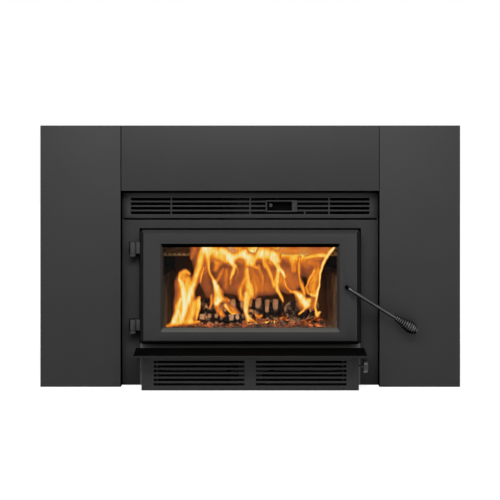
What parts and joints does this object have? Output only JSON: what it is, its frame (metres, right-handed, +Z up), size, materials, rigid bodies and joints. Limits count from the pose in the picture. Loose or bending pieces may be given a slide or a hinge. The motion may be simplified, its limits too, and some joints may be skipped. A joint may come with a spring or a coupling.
{
  "type": "fireplace insert",
  "caption": "Wood-burning fireplace insert with a folded steel surround, bevelled glass door, spring-grip handle, ash shelf and under-shelf blower.",
  "frame": {"origin": "on the hearth plane, midway between the sides, at the wall plane that the back edges of the surround touch", "axes": "+Z up, +X to the right of a person facing the door, -Y out of the wall towards that person"},
  "size_m": [1.1176, 0.536, 0.696],
  "materials": {
    "charcoal_paint": "matt charcoal high-temperature paint with a fine texture",
    "black_steel": "satin black painted steel",
    "firebox_steel": "sooted black firebox steel",
    "galvanised": "dull galvanised sheet",
    "stainless": "heat-tinted stainless tube",
    "firebrick": "pale buff firebrick, smoked",
    "baffle_board": "fibrous refractory board",
    "door_glass": "clear ceramic glass",
    "gasket_rope": "knitted glass-fibre rope, black",
    "black_plastic": "moulded black plastic",
    "motor_iron": "lacquered motor casing",
    "zinc_plate": "zinc-plated steel",
    "charred_wood": "charred split firewood",
    "embers": "glowing embers in ash"
  },
  "bodies": {
    "insert_body": {"faceplate_left": "charcoal_paint", "faceplate_right": "charcoal_paint", "faceplate_top": "charcoal_paint", "body_face": "charcoal_paint", "outlet_grille": "charcoal_paint", "air_control_frame": "charcoal_paint", "hinge_bracket_upper": "charcoal_paint", "hinge_bracket_lower": "charcoal_paint", "ash_shelf": "charcoal_paint", "blower_housing": "charcoal_paint", "air_frame_screw": "black_steel", "air_inlet_box": "firebox_steel", "firebox_shell": "firebox_steel", "air_channel_left": "firebox_steel", "air_channel_right": "firebox_steel", "air_wash_deflector": "firebox_steel", "flue_collar": "firebox_steel", "base_plate": "galvanised", "convection_casing": "galvanised", "blower_scroll_left": "galvanised", "blower_scroll_right": "galvanised", "air_tube_1": "stainless", "air_tube_2": "stainless", "air_tube_3": "stainless", "floor_brick_left": "firebrick", "floor_brick_right": "firebrick", "side_brick_left": "firebrick", "side_brick_right": "firebrick", "rear_brick_left": "firebrick", "rear_brick_right": "firebrick", "baffle_board_left": "baffle_board", "baffle_board_right": "baffle_board", "speed_control": "black_plastic", "cord_gland": "black_plastic", "blower_motor": "motor_iron", "blower_bearing_left": "zinc_plate", "blower_bearing_right": "zinc_plate", "log_rear": "charred_wood", "log_front": "charred_wood", "log_right": "charred_wood", "ember_bed": "embers"},
    "door": {"door_frame": "charcoal_paint", "door_glass": "door_glass", "glass_gasket": "gasket_rope", "glass_retainer_top": "zinc_plate", "glass_retainer_bottom": "zinc_plate", "door_rope_gasket": "gasket_rope", "hinge_knuckle_upper": "charcoal_paint", "hinge_knuckle_lower": "charcoal_paint"},
    "door_handle": {"handle_rod": "black_steel", "handle_grip": "black_steel", "latch_finger": "zinc_plate", "latch_nut": "zinc_plate"},
    "air_control": {"air_control_lever": "black_steel", "air_shutter": "zinc_plate"},
    "speed_knob_body": {"speed_knob": "black_plastic"},
    "blower_rotor": {"blower_shaft": "zinc_plate", "blower_wheel_left": "galvanised", "blower_wheel_right": "galvanised"}
  },
  "joints": [
    {"name": "door_hinge", "type": "hinge", "parent": "insert_body", "child": "door", "pos_m": [-0.3132, -0.014, 0.2665], "axis": [0, 0, -1], "range_deg": [0, 105]},
    {"name": "handle_turn", "type": "hinge", "parent": "door", "child": "door_handle", "pos_m": [0.256, -0.0275, 0.266], "axis": [0, -1, 0], "range_deg": [-8, 65]},
    {"name": "air_slide", "type": "slide", "parent": "insert_body", "child": "air_control", "axis": [1, 0, 0], "range_m": [0, 0.045]},
    {"name": "knob_turn", "type": "hinge", "parent": "insert_body", "child": "speed_knob_body", "pos_m": [0.303, -0.06, 0.0615], "axis": [1, 0, 0], "range_deg": [0, 300]},
    {"name": "rotor_spin", "type": "hinge", "parent": "insert_body", "child": "blower_rotor", "pos_m": [0, -0.035, 0.0465], "axis": [1, 0, 0], "continuous": true}
  ]
}
